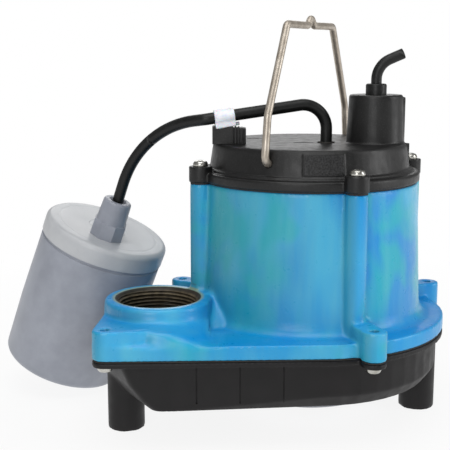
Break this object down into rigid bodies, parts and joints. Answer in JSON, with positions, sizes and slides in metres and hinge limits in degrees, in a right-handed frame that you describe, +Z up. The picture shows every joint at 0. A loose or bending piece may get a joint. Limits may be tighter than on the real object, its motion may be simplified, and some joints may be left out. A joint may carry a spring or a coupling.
{
  "type": "submersible sump pump",
  "caption": "Submersible sump pump with painted iron motor housing, plastic cover and volute base, threaded vertical discharge, wire bail handle and tethered float switch.",
  "frame": {"origin": "on the plane that the feet stand on, directly under the motor shaft's axis", "axes": "+Z up along the motor shaft and the discharge axis; -X from the shaft towards the discharge port; +X away from it"},
  "size_m": [0.2743, 0.2221, 0.2444],
  "materials": {
    "housing_paint": "gloss epoxy paint over cast iron",
    "cover_plastic": "satin moulded, lightly grained",
    "base_plastic": "matte moulded",
    "gasket_rubber": "matte",
    "screw_steel": "bright stainless",
    "handle_steel": "drawn stainless wire, warm grey",
    "cord_jacket": "smooth satin",
    "tie_nylon": "satin white",
    "strainer_plastic": "satin grey",
    "lamination_steel": "stacked sheet edges",
    "winding_copper": "varnished copper",
    "bracket_aluminium": "die cast",
    "bearing_steel": "ground and polished",
    "seal_ceramic": "lapped ceramic",
    "seal_carbon": "lapped carbon",
    "impeller_plastic": "glass-filled moulded",
    "float_plastic": "satin grey moulded",
    "float_cap_plastic": "satin light grey moulded",
    "switch_plastic": "moulded"
  },
  "bodies": {
    "pump": {"motor_housing": "housing_paint", "volute_base": "base_plastic", "volute_gasket": "gasket_rubber", "base_screws": "screw_steel", "intake_strainer": "strainer_plastic", "top_cover": "cover_plastic", "cover_gasket": "gasket_rubber", "cover_screws": "screw_steel", "cord_gland": "gasket_rubber", "power_cord": "cord_jacket", "float_cord": "cord_jacket", "cord_grommet": "gasket_rubber", "tie_mount": "cover_plastic", "cable_tie": "tie_nylon", "stator_core": "lamination_steel", "stator_windings": "winding_copper", "stator_screws": "screw_steel", "bearing_bracket": "bracket_aluminium", "thermal_protector": "switch_plastic", "upper_bearing_outer": "bearing_steel", "upper_bearing_balls": "bearing_steel", "lower_bearing_outer": "bearing_steel", "lower_bearing_balls": "bearing_steel", "seal_seat": "seal_ceramic"},
    "rotor": {"rotor_core": "lamination_steel", "motor_shaft": "screw_steel", "upper_bearing_inner": "bearing_steel", "lower_bearing_inner": "bearing_steel", "seal_head": "seal_carbon", "seal_bellows": "gasket_rubber", "impeller": "impeller_plastic"},
    "handle": {"bail_handle": "handle_steel"},
    "tether": {"tether_cord": "cord_jacket"},
    "float": {"float_gland": "float_plastic", "float_cap": "float_cap_plastic", "float_shell": "float_plastic", "switch_tube": "switch_plastic", "micro_switch": "cover_plastic"},
    "ball": {"switch_ball": "bearing_steel"}
  },
  "joints": [
    {"name": "rotor_spin", "type": "hinge", "parent": "pump", "child": "rotor", "pos_m": [0, 0, 0.1], "axis": [0, 0, 1], "continuous": true},
    {"name": "handle_swing", "type": "hinge", "parent": "pump", "child": "handle", "pos_m": [0, 0, 0.1605], "axis": [0.7071, 0.7071, 0], "range_deg": [-40, 28]},
    {"name": "tether_swing", "type": "hinge", "parent": "pump", "child": "tether", "pos_m": [-0.06591, 0.00099, 0.18286], "axis": [0.7132, 0.701, 0], "range_deg": [0, 75]},
    {"name": "float_tilt", "type": "hinge", "parent": "tether", "child": "float", "pos_m": [-0.11029, 0.04614, 0.12991], "axis": [0.7132, 0.701, 0], "range_deg": [-5, 45], "stiffness_Nm_per_rad": 1},
    {"name": "ball_slide", "type": "slide", "parent": "float", "child": "ball", "axis": [0.2901, -0.2266, 0.9298], "range_m": [0, 0.013]}
  ]
}
